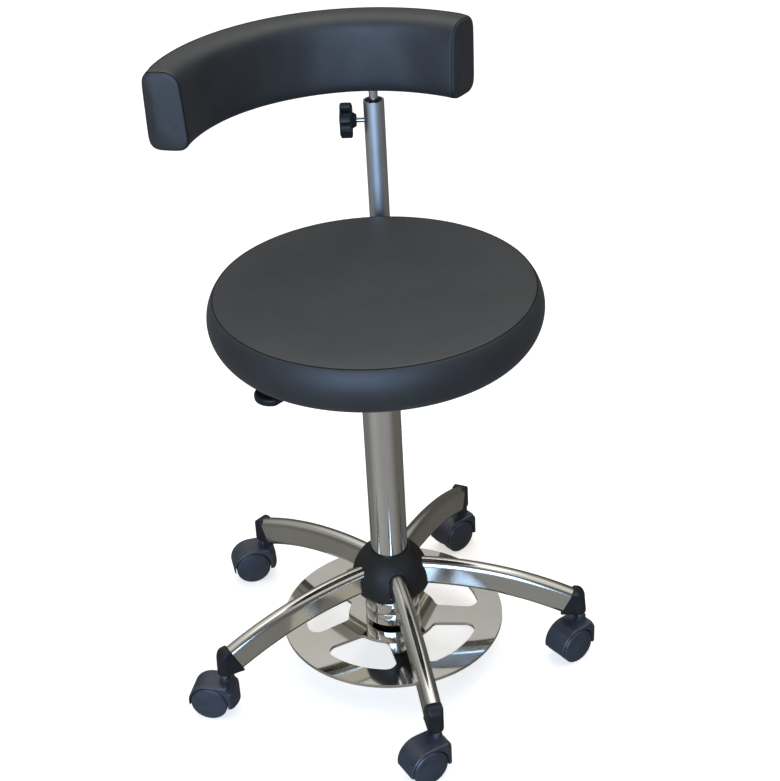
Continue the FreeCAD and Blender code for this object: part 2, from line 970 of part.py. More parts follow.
def build_ring_plate():
    """The chromed plate with five windows between its spokes."""
    half_sector = 180 / ARM_COUNT
    outer = S.ring_window_outer
    inner = S.ring_hub_radius
    outer_turn = half_sector - angle_of_sine(S.ring_spoke_outer / 2 / outer)
    inner_turn = half_sector - angle_of_sine(S.ring_spoke_inner / 2 / inner)
    outer_x = outer * cosine(outer_turn)
    outer_y = outer * sine(outer_turn)
    inner_x = inner * cosine(inner_turn)
    inner_y = inner * sine(inner_turn)
    bottom = S.ring_top - S.ring_plate
    windows = []

    def corner_edge(edge):
        if edge.BoundBox.ZLength < S.ring_plate.value:
            return 0
        middle = edge.BoundBox.Center
        far = math.hypot(middle.x, middle.y) > (outer.value + inner.value) / 2
        return S.ring_corner_outer.value if far else S.ring_corner_inner.value

    for index in range(ARM_COUNT):
        turn = ARM_START + half_sector - index * 360 / ARM_COUNT
        window = plate(
            "foot_ring_window",
            [
                [
                    (inner_x, -inner_y),
                    (outer_x, -outer_y, outer - outer_x),
                    (outer_x, outer_y),
                    (inner_x, inner_y, inner_x - inner),
                ]
            ],
            S.ring_plate + S.overcut * 2,
        )
        soft = rounded("foot_ring_window_soft", window, corner_edge)
        soft.Placement = at(0, 0, bottom - S.overcut, turn)
        windows.append(soft)
    disc = cylinder(S.ring_radius, S.ring_plate, at(0, 0, bottom))
    hole = cylinder(S.spindle_thread, S.ring_plate + S.overcut * 2, at(0, 0, bottom - S.overcut))
    keep(cut("foot_ring", disc, windows + [hole]), "foot_ring")


def build_foot_nut():
    corner_radius = S.foot_nut_across / 2 / cosine(180 / NUT_SIDES)
    corners = []
    for index in range(NUT_SIDES):
        turn = index * 360 / NUT_SIDES
        corners.append((corner_radius * cosine(turn), corner_radius * sine(turn)))
    level = S.ring_top - S.ring_plate - S.foot_nut_height
    block = plate("foot_nut_block", [corners], S.foot_nut_height, at(0, 0, level))
    hole = cylinder(S.spindle_thread, S.foot_nut_height + S.overcut * 2, at(0, 0, level - S.overcut))
    keep(cut("foot_nut", block, [hole]), "foot_nut")


# Seat


def build_seat():
    board_top = S.seat_bottom + S.board_thickness
    flange_under = S.seat_bottom - S.flange_thickness
    blank = turned(
        "seat_hub_blank",
        [
            (S.pressure_tube_radius, S.socket_bottom),
            (S.socket_radius, S.socket_bottom),
            (S.socket_radius, flange_under),
            (S.flange_radius, flange_under),
            (S.flange_radius, S.seat_bottom),
            (0, S.seat_bottom),
            (0, S.pressure_tube_top),
            (S.pressure_tube_radius, S.pressure_tube_top),
        ],
    )
    bottom_radius = S.seat_radius - S.seat_bottom_inset
    board_radius = bottom_radius - S.board_inset
    board = cylinder(board_radius, S.board_thickness, at(0, 0, S.seat_bottom))
    screws = []
    flange_holes = []
    board_holes = []
    shank_length = S.flange_thickness + S.seat_screw_bite
    head_level = flange_under - S.seat_screw_head_height
    flange_hole_length = S.flange_thickness + S.overcut * 2
    board_hole_length = S.seat_screw_bite + S.overcut
    for index in range(SEAT_SCREWS):
        point = around(S.seat_screw_circle, SEAT_SCREW_START + index * 360 / SEAT_SCREWS)
        shank = cylinder(S.seat_screw_radius, shank_length, at(point.x, point.y, flange_under))
        head = cylinder(S.seat_screw_head, S.seat_screw_head_height, at(point.x, point.y, head_level))
        screws.append(joined("seat_screw", [shank, head]))
        flange_start = at(point.x, point.y, flange_under - S.overcut)
        flange_holes.append(cylinder(S.seat_screw_radius, flange_hole_length, flange_start))
        board_start = at(point.x, point.y, S.seat_bottom - S.overcut)
        board_holes.append(cylinder(S.seat_screw_radius, board_hole_length, board_start))
    keep(cut("seat_hub", blank, flange_holes), "seat_hub")
    keep(cut("seat_board", board, board_holes), "seat_board")
    group = doc.addObject("Part::Compound", "seat_screws")
    group.Links = screws
    keep(group, "seat_screws")
    seat_top = S.seat_bottom + S.cushion_height
    seam_radius = S.seat_radius - S.seat_seam_inset
    seam_level = seat_top - S.seat_seam_drop
    side_bulge = S.seat_radius - (bottom_radius + seam_radius) / 2
    shoulder_radius = seam_radius - S.seat_shoulder
    shoulder_level = seam_level + S.seat_shoulder_height
    keep(
        turned(
            "seat_cushion",
            [
                (0, board_top),
                (board_radius, board_top),
                (board_radius, S.seat_bottom),
                (bottom_radius, S.seat_bottom, side_bulge),
                (seam_radius, seam_level, S.seat_shoulder_rise),
                (shoulder_radius, shoulder_level, S.seat_crown_rise),
                (S.seat_flat_radius, seat_top),
                (0, seat_top),
            ],
        ),
        "seat_cushion",
    )


# Swing bracket, lock lever and post

clip_bottom = S.socket_bottom + S.clip_gap
collar_bottom = clip_bottom + S.clip_height + S.clip_gap
bar_top = S.bar_level + S.bar_thickness
post_distance = S.seat_radius + S.post_seat_gap + S.post_radius


def build_bracket():
    keep(
        turned(
            "collar_clip",
            [
                (S.socket_radius, clip_bottom),
                (S.clip_radius, clip_bottom),
                (S.clip_radius, clip_bottom + S.clip_height),
                (S.socket_radius, clip_bottom + S.clip_height),
            ],
        ),
        "collar_clip",
    )
    collar = cylinder(S.collar_radius, S.collar_height, at(0, 0, collar_bottom))
    bar = box(S.bar_width, post_distance, S.bar_thickness, at(0, post_distance / 2, S.bar_level))
    bar_end = cylinder(S.bar_width / 2, S.bar_thickness, at(0, post_distance, S.bar_level))
    pivot = around(S.lever_pivot, S.lever_angle)
    ear_middle = around(S.lever_pivot / 2, S.lever_angle)
    ear = box(
        S.lever_pivot,
        S.ear_width,
        S.bar_thickness,
        at(ear_middle.x, ear_middle.y, S.bar_level, S.lever_angle),
    )
    ear_end = cylinder(S.ear_width / 2, S.bar_thickness, at(pivot.x, pivot.y, S.bar_level))
    stud_length = S.bar_thickness + S.clip_gap * 2 + S.lever_thickness
    stud = cylinder(S.lever_pin_radius, stud_length, at(pivot.x, pivot.y, S.bar_level))
    head_level = S.bar_level + stud_length
    head = cylinder(S.lever_pin_head, S.lever_pin_head_height, at(pivot.x, pivot.y, head_level))
    solid = joined("swing_bracket_solid", [collar, bar, bar_end, ear, ear_end, stud, head])
    bore = cylinder(
        S.socket_radius + S.running_gap,
        S.collar_height + S.overcut * 2,
        at(0, 0, collar_bottom - S.overcut),
    )
    keep(cut("swing_bracket", solid, [bore]), "swing_bracket")


def build_lever():
    """The lock lever on the peened stud of the bracket, with a moulded paddle grip."""
    pivot = around(S.lever_pivot, S.lever_angle)
    level = bar_top + S.clip_gap
    turn = S.lever_angle
    strip_length = S.lever_length - S.lever_pivot
    strip_middle = around((S.lever_length + S.lever_pivot) / 2, turn)
    strip = box(
        strip_length,
        S.lever_width,
        S.lever_thickness,
        at(strip_middle.x, strip_middle.y, level, turn),
    )
    strip_end = cylinder(S.lever_width / 2, S.lever_thickness, at(pivot.x, pivot.y, level))
    solid = joined("lever_arm_solid", [strip, strip_end])
    hole = cylinder(
        S.lever_pin_radius + S.running_gap,
        S.lever_thickness + S.overcut * 2,
        at(pivot.x, pivot.y, level - S.overcut),
    )
    keep(cut("lever_arm", solid, [hole]), "lever_arm")
    half = S.grip_width / 2
    neck = S.lever_width
    paddle = plate(
        "lever_grip_paddle",
        [
            [
                (S.grip_start, -neck / 2 - S.grip_round),
                (S.grip_end - half, -half, S.grip_tip_rise),
                (S.grip_end - half, half),
                (S.grip_start, neck / 2 + S.grip_round),
            ]
        ],
        S.grip_thickness,
    )

    def rim_edge(edge):
        return S.grip_round.value if edge.BoundBox.ZLength < FLAT_EDGE else 0

    soft = rounded("lever_grip_soft", paddle, rim_edge)
    drop = (S.grip_thickness - S.lever_thickness) / 2
    soft.Placement = at(0, 0, level - drop, turn)
    slot_length = S.lever_length - S.grip_start + S.overcut
    slot_middle = around(S.lever_length - slot_length / 2, turn)
    slot = box(
        slot_length,
        S.lever_width,
        S.lever_thickness,
        at(slot_middle.x, slot_middle.y, level, turn),
    )
    keep(cut("lever_grip", soft, [slot]), "lever_grip")


def build_post():
    bore = S.post_radius - S.post_wall
    y = post_distance
    height = S.post_top - bar_top
    tube = cylinder(S.post_radius, height, at(0, y, bar_top))
    hollow = cylinder(bore, height + S.overcut, at(0, y, bar_top))
    left = Vector(-1, 0, 0)
    stud_hole = cylinder(
        S.stud_radius + S.running_gap,
        S.post_radius + S.overcut,
        lying(0, y, S.knob_level, left),
    )
    keep(cut("post_tube", tube, [hollow, stud_hole]), "post_tube")
    sliding = S.pad_rod_radius + S.running_gap
    bush_top = S.post_top - S.post_bush_recess
    bush_bottom = bush_top - S.post_bush_height
    keep(
        turned(
            "post_bush",
            [
                (sliding, bush_bottom),
                (bore, bush_bottom),
                (bore, bush_top),
                (sliding, bush_top),
            ],
            at(0, y, 0),
        ),
        "post_bush",
    )
    foot = bore - S.pad_rod_foot_gap
    rod_top = S.pad_bottom + S.pad_socket_depth - S.clip_gap
    keep(
        turned(
            "pad_rod",
            [
                (0, S.pad_rod_bottom),
                (foot, S.pad_rod_bottom),
                (foot, S.pad_rod_bottom + S.pad_rod_foot),
                (S.pad_rod_radius, S.pad_rod_bottom + S.pad_rod_foot),
                (S.pad_rod_radius, rod_top),
                (0, rod_top),
            ],
            at(0, y, 0),
        ),
        "pad_rod",
    )
    build_knob()


def build_knob():
    """The star knob and its stud, drawn along Z and laid on the -X side of the post."""
    stud_start = S.pad_rod_radius + S.stud_tip_gap
    hub_start = S.post_radius + S.knob_standoff
    stud_end = hub_start + S.knob_hub_length
    left = Vector(-1, 0, 0)
    place = lying(0, post_distance, S.knob_level, left)
    stud = cylinder(S.stud_radius, stud_end - stud_start, place)
    stud.Placement = place.multiply(at(0, 0, stud_start))
    keep(stud, "knob_stud")
    disc_start = hub_start + S.knob_disc_step
    disc = cylinder(S.knob_radius, S.knob_thickness, at(0, 0, disc_start))
    scallops = []
    lobes = int(S.knob_lobes.value)
    for index in range(lobes):
        point = around(S.knob_radius + S.knob_scallop / 2, (index + 0.5) * 360 / lobes)
        scallop_start = at(point.x, point.y, disc_start - S.overcut)
        scallops.append(cylinder(S.knob_scallop, S.knob_thickness + S.overcut * 2, scallop_start))
    star = cut("knob_star", disc, scallops)

    def rim_edge(edge):
        return S.knob_edge_round.value if edge.BoundBox.ZLength < FLAT_EDGE else 0

    soft = rounded("knob_soft", star, rim_edge)
    hub = turned(
        "knob_hub",
        [
            (0, hub_start),
            (S.knob_hub_small, hub_start),
            (S.knob_hub_large, hub_start + S.knob_hub_length),
            (0, hub_start + S.knob_hub_length),
        ],
    )
    solid = joined("knob_solid", [soft, hub])
    hole = cylinder(S.stud_radius, S.knob_hub_length + S.overcut, at(0, 0, hub_start - S.overcut))
    knob = cut("clamp_knob", solid, [hole])
    knob.Placement = place
    keep(knob, "clamp_knob")


# Back pad


def arc_place(end_angle):
    """The placement of a piece turned about the pad's arc, its first end at this angle past the post."""
    turn = math.radians(S.pad_turn_angle.value)
    away = Vector(math.sin(turn), -math.cos(turn), 0) * S.pad_arc_radius.value
    centre = Vector(0, post_distance.value, 0) + away
    return Placement(centre, Rotation(Vector(0, 0, 1), 90 + S.pad_turn_angle.value - size(end_angle).value))


def build_back_pad():
    inner = S.pad_arc_radius - S.pad_inner_depth
    outer = S.pad_arc_radius + S.pad_outer_depth
    top = S.pad_bottom + S.pad_height
    crown = S.pad_crown
    span = S.pad_right_angle + S.pad_left_angle
    blank = turned(
        "back_pad_blank",
        [
            (inner, S.pad_bottom),
            (outer - crown, S.pad_bottom, crown),
            (outer - crown, top - crown, crown),
            (inner + S.pad_top_taper, top - crown, crown),
        ],
        arc_place(S.pad_right_angle),
        span,
    )

    def any_edge(edge):
        return S.pad_round.value

    soft = rounded("back_pad_soft", blank, any_edge)
    socket_hole = cylinder(
        S.pad_socket_radius + S.core_gap,
        S.pad_socket_height + S.core_gap + S.overcut,
        at(0, post_distance, S.pad_bottom - S.overcut),
    )
    gap = S.core_gap
    slot_inset = S.core_end_inset - angle_of_sine(gap / S.pad_arc_radius)
    slot_place = arc_place(S.pad_right_angle - slot_inset)
    slot = turned("back_pad_slot", core_outline(gap), slot_place, span - slot_inset * 2)
    keep(cut("back_pad", soft, [slot, socket_hole]), "back_pad")
    core_place = arc_place(S.pad_right_angle - S.core_end_inset)
    core = turned("pad_core_blank", core_outline(size(0)), core_place, span - S.core_end_inset * 2)
    core_hole = cylinder(
        S.pad_socket_radius,
        S.pad_socket_height,
        at(0, post_distance, S.pad_bottom),
    )
    keep(cut("pad_core", core, [core_hole]), "pad_core")
    sliding = S.pad_rod_radius + S.running_gap
    depth = S.pad_bottom + S.pad_socket_depth
    keep(
        turned(
            "pad_socket",
            [
                (sliding, S.pad_bottom),
                (S.pad_socket_radius, S.pad_bottom),
                (S.pad_socket_radius, S.pad_bottom + S.pad_socket_height),
                (0, S.pad_bottom + S.pad_socket_height),
                (0, depth),
                (sliding, depth),
            ],
            at(0, post_distance, 0),
        ),
        "pad_socket",
    )


def core_outline(gap):
    """The section of the pad's inner board, grown by a gap."""
    half = S.core_thickness / 2 + gap
    bottom = S.pad_bottom - gap
    top = S.pad_bottom + S.core_height + gap
    return [
        (S.pad_arc_radius - half, bottom),
        (S.pad_arc_radius + half, bottom),
        (S.pad_arc_radius + half, top),
        (S.pad_arc_radius - half, top),
    ]


def check_and_write():
    doc.recompute()
    broken = [item.Name for item in doc.Objects if "Invalid" in item.State or "Error" in item.State]
    if broken:
        raise RuntimeError(f"objects that do not build: {broken}")
    for piece in pieces:
        if piece.Shape.isNull() or not piece.Shape.isValid():
            raise RuntimeError(f"bad shape: {piece.Label}")
    os.makedirs("parts", exist_ok=True)
    for piece in pieces:
        piece.Shape.exportStep(f"parts/{piece.Label}.step")
    print(f"{len(pieces)} sub-parts written")


for arm in range(ARM_COUNT):
    arm_turn = ARM_START - arm * 360 / ARM_COUNT
    build_castor(arm + 1, arm_turn, CASTOR_TURNS[arm])
    build_arm(arm + 1, arm_turn)
    build_cap(arm + 1, arm_turn)
build_stems()
build_hub()
build_boot()
build_column()
build_foot_ring()
build_seat()
build_bracket()
build_lever()
build_post()
build_back_pad()
check_and_write()
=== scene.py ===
import json
import math

import bmesh
import bpy
from mathutils import Matrix, Vector, kdtree


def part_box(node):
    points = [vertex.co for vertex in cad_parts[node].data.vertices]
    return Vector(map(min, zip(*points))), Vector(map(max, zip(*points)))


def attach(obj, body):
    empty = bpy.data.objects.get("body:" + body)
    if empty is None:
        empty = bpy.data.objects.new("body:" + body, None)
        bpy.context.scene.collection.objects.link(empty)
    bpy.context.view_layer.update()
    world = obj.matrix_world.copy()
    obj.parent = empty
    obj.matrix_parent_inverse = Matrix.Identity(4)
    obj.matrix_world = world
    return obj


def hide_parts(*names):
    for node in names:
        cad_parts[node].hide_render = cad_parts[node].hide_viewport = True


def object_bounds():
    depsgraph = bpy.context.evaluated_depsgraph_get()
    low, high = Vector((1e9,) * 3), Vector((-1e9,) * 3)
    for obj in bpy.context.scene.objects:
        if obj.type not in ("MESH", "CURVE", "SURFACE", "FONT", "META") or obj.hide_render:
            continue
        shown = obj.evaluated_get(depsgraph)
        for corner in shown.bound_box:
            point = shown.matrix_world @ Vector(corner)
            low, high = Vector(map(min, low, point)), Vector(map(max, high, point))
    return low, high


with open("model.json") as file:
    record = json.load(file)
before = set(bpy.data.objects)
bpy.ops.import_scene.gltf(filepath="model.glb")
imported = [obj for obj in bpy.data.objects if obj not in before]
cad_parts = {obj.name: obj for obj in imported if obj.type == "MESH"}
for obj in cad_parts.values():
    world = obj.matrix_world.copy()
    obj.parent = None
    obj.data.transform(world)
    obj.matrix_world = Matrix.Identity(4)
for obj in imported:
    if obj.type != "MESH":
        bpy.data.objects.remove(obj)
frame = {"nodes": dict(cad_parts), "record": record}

# Medical stool: vinyl seat and back pad, chromed column, arms and foot ring, black castors.
# Metres. The floor is z = 0, the column axis is the Z axis, the back post stands on the +Y side.

cad_box = [list(corner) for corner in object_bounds()]
scene = bpy.context.scene
MM = 0.001
MERGE_REACH = 0.02 * MM

# Places read from the frame

seat_low, seat_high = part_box("seat_cushion")
board_low, board_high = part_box("seat_board")
pad_low, pad_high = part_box("back_pad")
socket_low, socket_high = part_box("pad_socket")
rod_low, rod_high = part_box("pad_rod")
board_radius = board_high[0]
post_y = (rod_low[1] + rod_high[1]) / 2

# Sizes of the sewn covers

SEAT_SEAM_RADIUS = 203.4 * MM
SEAT_SEAM_LEVEL = 567.9 * MM
SEAT_BOTTOM_RADIUS = 197 * MM
SEAT_SIDE_BULGE = 11.2 * MM
SEAT_SIDE_EDGE = 0.3 * MM
SEAT_SHOULDER = 9 * MM
SEAT_SHOULDER_DROP = 2.4 * MM
SEAT_SHOULDER_RISE = 0.5 * MM
SEAT_CROWN_RISE = 1.0 * MM
SEAT_CROWN_DROP = 2.0 * MM
SEAT_FLAT_RADIUS = 24 * MM
SEAT_FOLD_INSET = 4 * MM
SEAT_SWELLING = 2.0 * MM
SEAT_SMOOTHING = 10
SEAT_STEPS = 96
SEAM_GROOVE = 2.0 * MM
SEAM_HALF_WIDTH = 1.8 * MM
SEAM_REACH = 0.2 * MM
SEAM_KEPT = 4 * MM
COVER_GAP = 0.4 * MM
COVER_FOLD = 1.2 * MM
COVER_LIP = 24 * MM
COVER_PRESSURE = 4.0
COVER_BENDING = 8
SWELLING_FRAMES = 20

PAD_ARC_RADIUS = 232.5 * MM
PAD_OUTER_DEPTH = 26.5 * MM
PAD_INNER_DEPTH = 28 * MM
PAD_TURN = math.radians(-3.6)
PAD_RIGHT_ANGLE = math.radians(31.5)
PAD_LEFT_ANGLE = math.radians(83.5)
PAD_TOP_TAPER = 5.5 * MM
PAD_CORNER = 13 * MM
PAD_SOFT_CORNER = 18 * MM
PAD_END_SHARE = 0.985
PAD_PANEL_LOOPS = [(0.93, 1.6 * MM), (0.8, 3.0 * MM), (0.55, 4.2 * MM), (0.25, 4.8 * MM)]
PAD_SHRINK = 0.8 * MM
PAD_SWELLING = 2.6 * MM
PAD_SMOOTHING = 6
PAD_SEAM_RADIUS = 251 * MM
PAD_SEAM_LIFT = 0.5 * MM
PAD_STEPS = 44
SOCKET_HOLE_GAP = 0.4 * MM
SOCKET_HOLE_BELOW = 20 * MM

STITCH_PITCH = 3.4 * MM
STITCH_LENGTH = 2.3 * MM
STITCH_RADIUS = 0.45 * MM
STITCH_OUT = 1.9 * MM
STITCH_DOWN = 2.6 * MM
SEAM_CORD_RADIUS = 0.55 * MM
SEAM_CORD_OUT = 0.3 * MM

# Sizes of the rounded edges

ARM_COUNT = 5
CAP_VOXEL = 0.8 * MM
CAP_SMOOTHING = 26
COLLARS = ["pedal_housing", "pedal_retainer"]
COLLAR_EDGE = 0.8 * MM
COLLAR_EDGE_STEPS = 3
COLLAR_SHARP_ANGLE = math.radians(40)

# Camera and light

CAMERA_PLACE = Vector((0.09817, -1.83030, 1.52797))
CAMERA_YAW = math.radians(-2.682)
CAMERA_PITCH = math.radians(31.236)
CAMERA_ROLL = math.radians(-3.079)
FOCAL_PIXELS = 1664.577
IMAGE_PIXELS = 781
SENSOR = 36.0
FLOOR_RADIUS = 6.0
SWEEP = 2.0
WALL_HEIGHT = 9.0
ROOM_GLOWS = [
    ((0, 0, 1), 180, 179, (0.10, 0.097, 0.090)),
    ((0, 0.42, 0.91), 48, 15, (0.55, 0.55, 0.54)),
    ((-0.62, 0.48, 0.62), 45, 10, (0.34, 0.34, 0.33)),
    ((0.54, -0.18, 0.82), 36, 12, (0.78, 0.755, 0.68)),
    ((-0.46, -0.32, 0.83), 32, 10, (0.50, 0.48, 0.43)),
    ((-0.15, -0.85, -0.5), 75, 15, (0.21, 0.215, 0.22)),
    ((-0.86, 0, -0.5), 70, 15, (0.09, 0.09, 0.085)),
    ((0.86, 0, -0.5), 60, 15, (0.04, 0.035, 0.028)),
]


def place_camera():
    data = bpy.data.cameras.new("camera")
    data.sensor_width = SENSOR
    data.lens = FOCAL_PIXELS * SENSOR / IMAGE_PIXELS
    camera = bpy.data.objects.new("camera", data)
    scene.collection.objects.link(camera)
    aim = Matrix.Rotation(-CAMERA_YAW, 3, "Z") @ Matrix.Rotation(math.pi / 2 - CAMERA_PITCH, 3, "X")
    aim = aim @ Matrix.Rotation(CAMERA_ROLL, 3, "Z")
    camera.matrix_world = Matrix.Translation(CAMERA_PLACE) @ aim.to_4x4()
    scene.camera = camera


def area_light(name, place, target, width, height, power, colour):
    data = bpy.data.lights.new(name, "AREA")
    data.shape = "RECTANGLE"
    data.size = width
    data.size_y = height
    data.energy = power
    data.color = colour
    light = bpy.data.objects.new(name, data)
    scene.collection.objects.link(light)
    direction = Vector(target) - Vector(place)
    aim = direction.to_track_quat("-Z", "Y").to_matrix()
    light.matrix_world = Matrix.Translation(Vector(place)) @ aim.to_4x4()


def room_glow(tree, way, wide, narrow, colour):
    """A soft patch of the room this way, full within narrow degrees of it and gone beyond wide."""
    place = tree.nodes.new("ShaderNodeTexCoord")
    toward = tree.nodes.new("ShaderNodeVectorMath")
    toward.operation = "DOT_PRODUCT"
    toward.inputs[1].default_value = Vector(way).normalized()
    tree.links.new(place.outputs["Generated"], toward.inputs[0])
    share = tree.nodes.new("ShaderNodeMapRange")
    share.interpolation_type = "SMOOTHSTEP"
    share.inputs["From Min"].default_value = math.cos(math.radians(wide))
    share.inputs["From Max"].default_value = math.cos(math.radians(narrow))
    tree.links.new(toward.outputs["Value"], share.inputs["Value"])
    tint = tree.nodes.new("ShaderNodeVectorMath")
    tint.operation = "SCALE"
    tint.inputs[0].default_value = colour
    tree.links.new(share.outputs["Result"], tint.inputs["Scale"])
    return tint.outputs["Vector"]


def light_the_room():
    """A big bluish window in front, a weak light overhead, and a plain room for the chrome to show."""
    area_light("front_window", (-0.5, -3.1, 1.25), (0, 0, 0.5), 2.8, 2.0, 104, (0.45, 0.66, 1.0))
    area_light("overhead", (0.1, 0.5, 2.9), (0, 0, 0.5), 2.4, 2.4, 22, (1.0, 0.985, 0.95))
    world = bpy.data.worlds.new("room")
    scene.world = world
    world.use_nodes = True
    tree = world.node_tree
    total = tree.nodes.new("ShaderNodeCombineXYZ").outputs["Vector"]
    for way, wide, narrow, colour in ROOM_GLOWS:
        both = tree.nodes.new("ShaderNodeVectorMath")
        both.operation = "ADD"
        tree.links.new(total, both.inputs[0])
        tree.links.new(room_glow(tree, way, wide, narrow, colour), both.inputs[1])
        total = both.outputs["Vector"]
    tree.links.new(total, tree.nodes["Background"].inputs["Color"])


def shade_stops(ramp, stops):
    points = ramp.color_ramp.elements
    while len(points) > 1:
        points.remove(points[-1])
    points[0].position = stops[0][0]
    points[0].color = (*stops[0][1], 1.0)
    for position, colour in stops[1:]:
        point = points.new(position)
        point.color = (*colour, 1.0)


def lay_floor():
    """A pale floor whose far rim sweeps up into a wall all round."""
    builder = bmesh.new()
    floor_rim = (FLOOR_RADIUS, 0.0)
    wall_foot = (FLOOR_RADIUS + SWEEP, SWEEP)
    quarter_rise = SWEEP * (1 - math.sqrt(0.5))
    profile = [(0.0, 0.0), floor_rim]
    profile += arc_points(floor_rim, wall_foot, quarter_rise, 12)
    profile.append((FLOOR_RADIUS + SWEEP, WALL_HEIGHT))
    points = [builder.verts.new((radius, 0, level)) for radius, level in profile]
    edges = [builder.edges.new(pair) for pair in zip(points, points[1:])]
    bmesh.ops.spin(
        builder,
        geom=points + edges,
        cent=(0, 0, 0),
        axis=(0, 0, 1),
        angle=2 * math.pi,
        steps=64,
        use_merge=True,
    )
    finish = Finish("pale_floor")
    tone = finish.noise(3.0, 2.0)
    finish.colour(tone, [(0.35, (0.90, 0.90, 0.90)), (0.65, (0.93, 0.93, 0.93))])
    finish.set(Roughness=0.9, Emission_Color=(1.0, 0.97, 0.92, 1.0), Emission_Strength=0.58)
    floor = new_piece("floor", builder, finish.material)
    floor.location = (0, 0, cad_box[0][2])
    floor.visible_glossy = False
    floor.visible_diffuse = False
    floor.visible_shadow = False


# Finishes


class Finish:
    """A material whose detail is placed by Object coordinates."""

    def __init__(self, name):
        self.material = bpy.data.materials.new(name)
        self.material.use_nodes = True
        self.tree = self.material.node_tree
        self.shader = self.tree.nodes["Principled BSDF"]
        self.place = self.tree.nodes.new("ShaderNodeTexCoord").outputs["Object"]

    def link(self, start, end):
        self.tree.links.new(start, end)

    def set(self, **values):
        for name, value in values.items():
            self.shader.inputs[name.replace("_", " ")].default_value = value

    def mapped(self, scale):
        node = self.tree.nodes.new("ShaderNodeMapping")
        node.inputs["Scale"].default_value = scale
        self.link(self.place, node.inputs["Vector"])
        return node.outputs["Vector"]

    def noise(self, scale, detail=2.0, place=None):
        node = self.tree.nodes.new("ShaderNodeTexNoise")
        node.inputs["Scale"].default_value = scale
        node.inputs["Detail"].default_value = detail
        self.link(place or self.place, node.inputs["Vector"])
        return node.outputs["Fac"]

    def cells(self, scale, feature="F1"):
        node = self.tree.nodes.new("ShaderNodeTexVoronoi")
        node.feature = feature
        node.inputs["Scale"].default_value = scale
        self.link(self.place, node.inputs["Vector"])
        return node.outputs["Distance"]

    def waves(self, scale, direction, distortion, place=None):
        node = self.tree.nodes.new("ShaderNodeTexWave")
        node.bands_direction = direction
        node.inputs["Scale"].default_value = scale
        node.inputs["Distortion"].default_value = distortion
        self.link(place or self.place, node.inputs["Vector"])
        return node.outputs["Fac"]

    def mixed(self, first, second, share):
        """A blend of two values, with this share of the second."""
        node = self.tree.nodes.new("ShaderNodeMix")
        node.inputs["Factor"].default_value = share
        self.link(first, node.inputs["A"])
        self.link(second, node.inputs["B"])
        return node.outputs["Result"]

    def colour(self, value, stops):
        node = self.tree.nodes.new("ShaderNodeValToRGB")
        shade_stops(node, stops)
        self.link(value, node.inputs["Fac"])
        self.link(node.outputs["Color"], self.shader.inputs["Base Color"])

    def roughness(self, value, low, high):
        node = self.tree.nodes.new("ShaderNodeMapRange")
        node.inputs["From Min"].default_value = 0.3
        node.inputs["From Max"].default_value = 0.7
        node.inputs["To Min"].default_value = low
        node.inputs["To Max"].default_value = high
        self.link(value, node.inputs["Value"])
        self.link(node.outputs["Result"], self.shader.inputs["Roughness"])

    def bump(self, value, strength, depth):
        node = self.tree.nodes.new("ShaderNodeBump")
        node.inputs["Strength"].default_value = strength
        node.inputs["Distance"].default_value = depth
        self.link(value, node.inputs["Height"])
        self.link(node.outputs["Normal"], self.shader.inputs["Normal"])


def make_vinyl():
    finish = Finish("vinyl")
    shades = [(0.3, (0.013, 0.014, 0.0155)), (0.7, (0.021, 0.0225, 0.0245))]
    finish.colour(finish.noise(14.0, 4.0), shades)
    finish.roughness(finish.noise(60.0, 3.0), 0.54, 0.58)
    grain = finish.mixed(finish.cells(850.0), finish.noise(420.0, 3.0), 0.45)
    finish.bump(grain, 0.22, 0.25 * MM)
    finish.set(Specular_IOR_Level=0.8, Sheen_Weight=0.06, Sheen_Roughness=0.4)
    return finish.material


def make_chrome(
    name="chrome",
    low=0.045,
    high=0.10,
    dark=(0.74, 0.73, 0.715),
    light=(0.82, 0.815, 0.805),
):
    finish = Finish(name)
    finish.colour(finish.noise(9.0, 3.0), [(0.3, dark), (0.7, light)])
    smears = finish.mixed(finish.noise(22.0, 5.0), finish.noise(240.0, 2.0), 0.3)
    finish.roughness(smears, low, high)
    finish.bump(finish.noise(35.0, 2.0), 0.03, 0.4 * MM)
    finish.set(Metallic=1.0)
    return finish.material


def make_satin_chrome():
    finish = Finish("satin_chrome")
    # Partly painted reflection: the satin metal's own grey is tinted bluish, painting in the blue of the
    # seat and window it reflects.
    finish.colour(finish.noise(9.0, 3.0), [(0.3, (0.66, 0.69, 0.71)), (0.7, (0.74, 0.77, 0.79))])
    smears = finish.mixed(finish.noise(22.0, 5.0), finish.noise(240.0, 2.0), 0.3)
    finish.roughness(smears, 0.42, 0.48)
    finish.bump(finish.noise(60.0, 2.0), 0.02, 0.2 * MM)
    finish.set(Metallic=1.0)
    return finish.material


def make_bright_steel():
    finish = Finish("bright_steel")
    finish.colour(finish.noise(40.0, 3.0), [(0.3, (0.50, 0.50, 0.49)), (0.7, (0.66, 0.66, 0.65))])
    turning = finish.waves(900.0, "Z", 1.5)
    finish.roughness(finish.mixed(turning, finish.noise(120.0, 3.0), 0.5), 0.16, 0.30)
    finish.bump(turning, 0.06, 0.05 * MM)
    finish.set(Metallic=1.0)
    return finish.material


def make_zinc_steel():
    finish = Finish("zinc_steel")
    finish.colour(finish.cells(160.0), [(0.1, (0.36, 0.37, 0.38)), (0.8, (0.52, 0.53, 0.54))])
    finish.roughness(finish.cells(160.0), 0.32, 0.46)
    finish.bump(finish.noise(300.0, 3.0), 0.08, 0.1 * MM)
    finish.set(Metallic=1.0)
    return finish.material


def make_black_paint():
    finish = Finish("black_paint")
    finish.colour(finish.noise(30.0, 3.0), [(0.3, (0.012, 0.012, 0.013)), (0.7, (0.022, 0.022, 0.024))])
    finish.roughness(finish.noise(90.0, 3.0), 0.34, 0.46)
    finish.bump(finish.noise(700.0, 2.0), 0.12, 0.08 * MM)
    return finish.material


